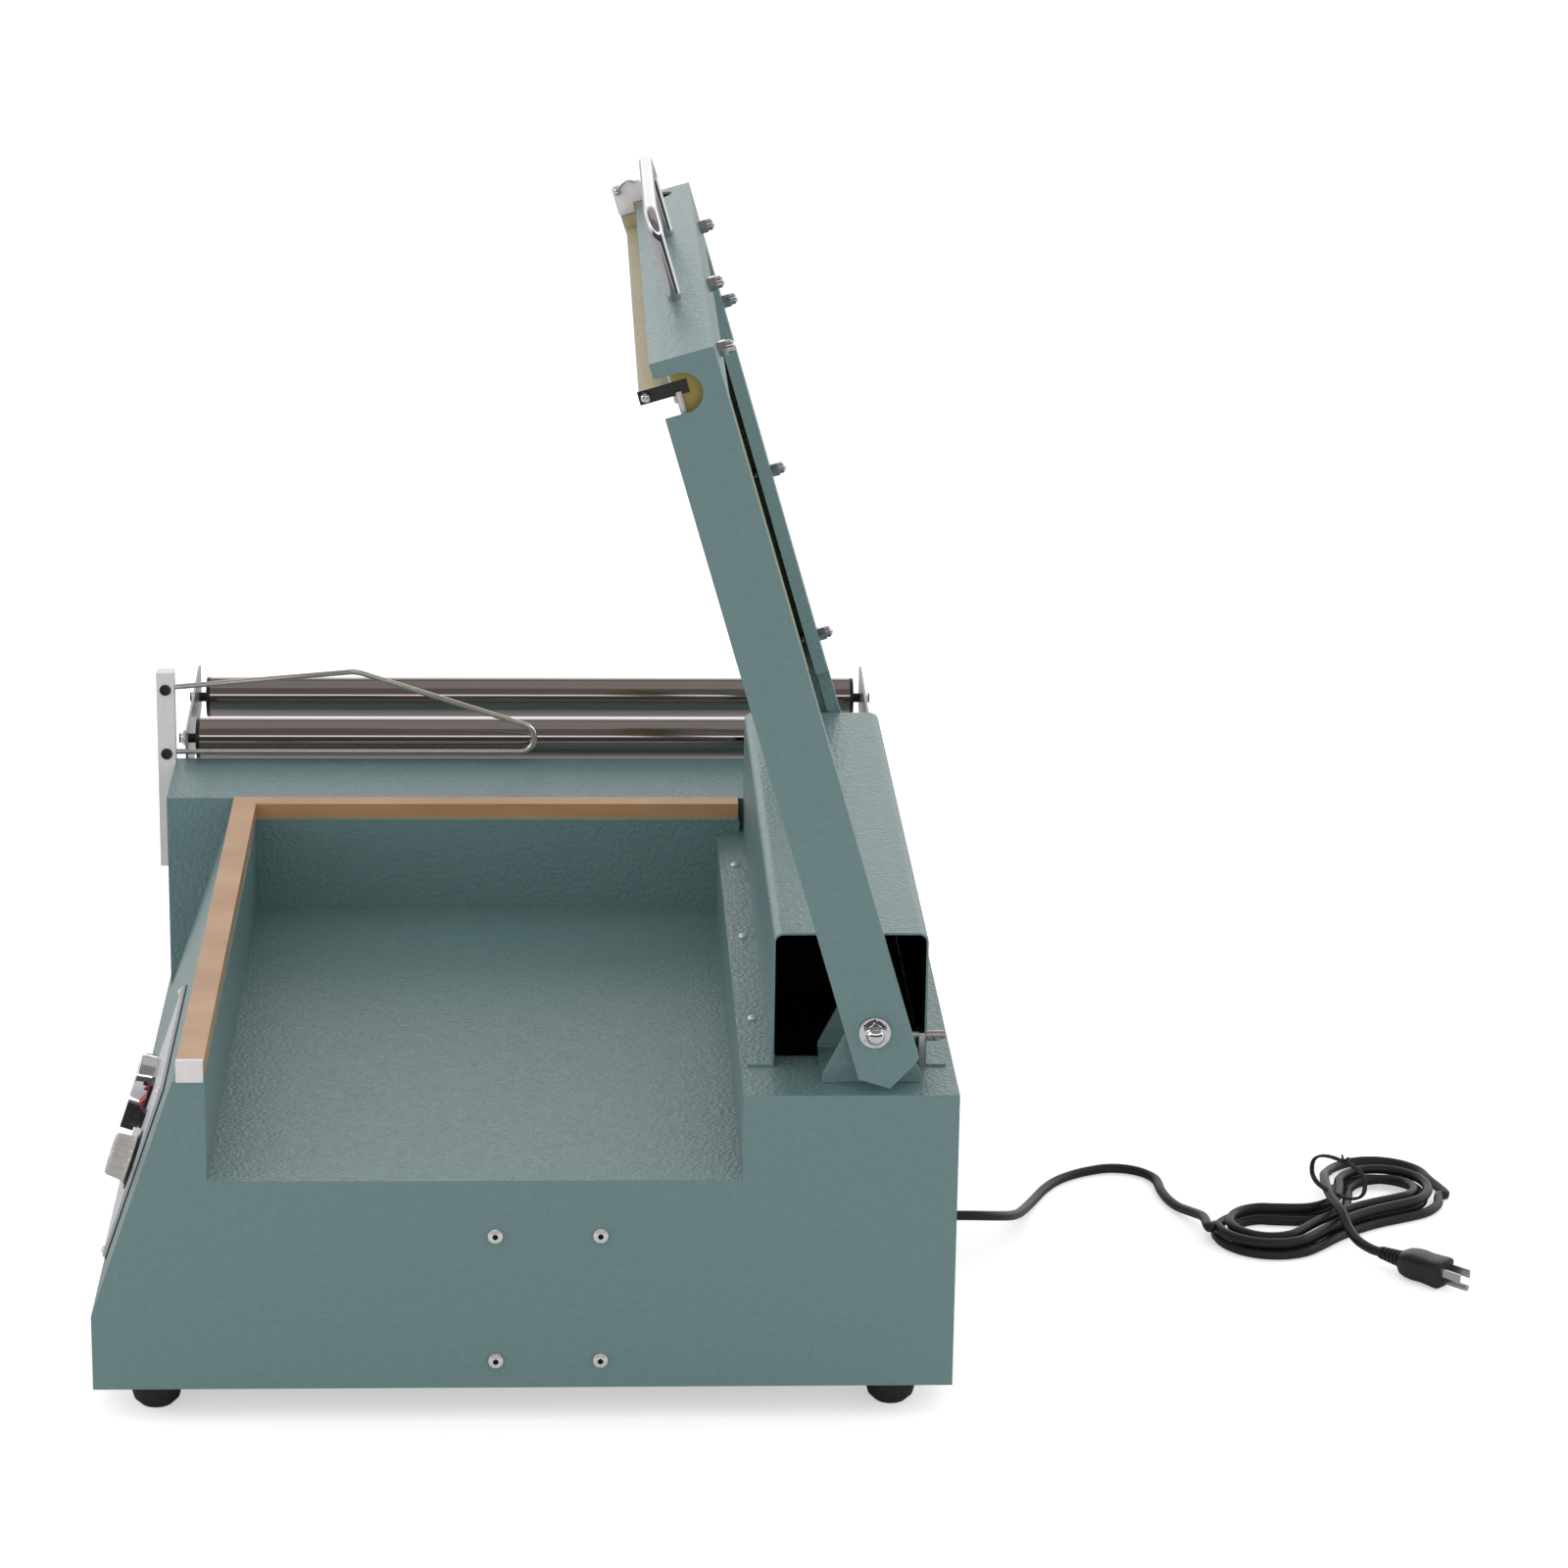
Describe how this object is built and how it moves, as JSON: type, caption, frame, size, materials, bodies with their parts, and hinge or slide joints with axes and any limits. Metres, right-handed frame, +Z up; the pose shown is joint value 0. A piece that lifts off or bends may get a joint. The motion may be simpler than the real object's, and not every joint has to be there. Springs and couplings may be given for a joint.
{
  "type": "l-bar sealer",
  "caption": "Bench L-bar film sealer: painted casing with a tray, a sprung L-shaped jaw with hot-wire boards, film rollers, front controls and a mains cord.",
  "frame": {"origin": "middle of the footprint, on the surface that the rubber feet stand on", "axes": "+X along the casing towards the open end of the tray, +Y to the rear hinge, +Z up"},
  "size_m": [0.882, 1.0255, 0.8222],
  "materials": {
    "paint": "hammered teal paint",
    "bare_steel": "zinc plated",
    "roller_steel": "turned and brushed",
    "chrome": "polished plate",
    "spring_steel": "dark spring steel",
    "aluminium": "satin",
    "panel_plate": "satin plate",
    "rubber": "matt",
    "black_plastic": "moulded",
    "red_plastic": "gloss",
    "silver_plastic": "metallised",
    "lens": "dark window",
    "fibre": "olive fibre board",
    "blade": "beige fibre board",
    "silicone": "red-brown silicone",
    "tape": "coated glass cloth",
    "bronze": "sintered",
    "iron": "laminated",
    "black_steel": "blackened"
  },
  "bodies": {
    "base": {"body_shell": "paint", "bottom_plate": "paint", "rubber_feet": "rubber", "casing_screws": "chrome", "control_panel": "panel_plate", "panel_screws": "chrome", "indicator_bezel": "chrome", "indicator_lens": "lens", "rocker_housing": "black_plastic", "selector_switch": "black_plastic", "timer_unit": "panel_plate", "seal_base": "aluminium", "silicone_pad": "silicone", "seal_tape": "tape", "hinge_cover": "paint", "cover_screws": "chrome", "hinge_brackets": "paint", "hinge_bushes": "bronze", "return_springs": "spring_steel", "adjusting_bolts": "bare_steel", "roller_plates": "bare_steel", "roller_axles": "bare_steel", "axle_nuts": "chrome", "guide_bar": "aluminium", "guide_bar_screws": "black_steel", "guide_wire": "chrome", "transformer": "iron", "strain_relief": "rubber", "mains_cord": "rubber", "cord_hank": "rubber", "plug_body": "rubber", "plug_pins": "bare_steel"},
    "jaw": {"jaw_frame": "paint", "handle": "chrome", "handle_screws": "chrome", "hinge_shaft": "bare_steel", "spring_collars": "bare_steel", "pivot_washers": "chrome", "pivot_nuts": "chrome", "front_springs": "spring_steel", "side_springs": "spring_steel"},
    "front_board": {"front_carrier": "fibre", "front_rail": "aluminium", "front_blade": "blade", "front_wire": "bare_steel", "front_terminals": "spring_steel", "front_bolts": "chrome"},
    "side_board": {"side_carrier": "fibre", "side_rail": "aluminium", "side_blade": "blade", "side_wire": "bare_steel", "side_terminals": "spring_steel", "side_bolts": "chrome"},
    "roller_near": {"roller_near": "roller_steel", "roller_near_caps": "black_plastic"},
    "roller_far": {"roller_far": "roller_steel", "roller_far_caps": "black_plastic"},
    "rocker": {"rocker": "red_plastic"},
    "selector_knob": {"selector_knob": "black_plastic"},
    "timer_knob": {"timer_knob": "silver_plastic"}
  },
  "joints": [
    {"name": "jaw_hinge", "type": "hinge", "parent": "base", "child": "jaw", "pos_m": [0.121, 0.24325, 0.287], "axis": [1, 0, 0], "range_deg": [0, 71.85], "stiffness_Nm_per_rad": 11, "springref_deg": -35.52, "deforming": ["return_springs"]},
    {"name": "front_board_slide", "type": "slide", "parent": "jaw", "child": "front_board", "axis": [0, 0.9593, 0.2823], "range_m": [0, 0.003], "stiffness_N_per_m": 3000, "springref_m": -0.005, "deforming": ["front_springs"]},
    {"name": "side_board_slide", "type": "slide", "parent": "jaw", "child": "side_board", "axis": [0, 0.9593, 0.2823], "range_m": [0, 0.003], "stiffness_N_per_m": 3000, "springref_m": -0.005, "deforming": ["side_springs"]},
    {"name": "roller_near_spin", "type": "hinge", "parent": "base", "child": "roller_near", "pos_m": [-0.302, 0.00275, 0.278], "axis": [0, 1, 0], "continuous": true},
    {"name": "roller_far_spin", "type": "hinge", "parent": "base", "child": "roller_far", "pos_m": [-0.424, 0.00275, 0.278], "axis": [0, 1, 0], "continuous": true},
    {"name": "rocker_tilt", "type": "hinge", "parent": "base", "child": "rocker", "pos_m": [0.228, -0.2714, 0.16417], "axis": [1, 0, 0], "range_deg": [0, 20]},
    {"name": "selector_turn", "type": "hinge", "parent": "base", "child": "selector_knob", "pos_m": [0.263, -0.2727, 0.16039], "axis": [0, -0.9454, 0.326], "range_deg": [-45, 45]},
    {"name": "timer_turn", "type": "hinge", "parent": "base", "child": "timer_knob", "pos_m": [0.328, -0.27466, 0.15472], "axis": [0, -0.9454, 0.326], "range_deg": [-135, 135]}
  ]
}
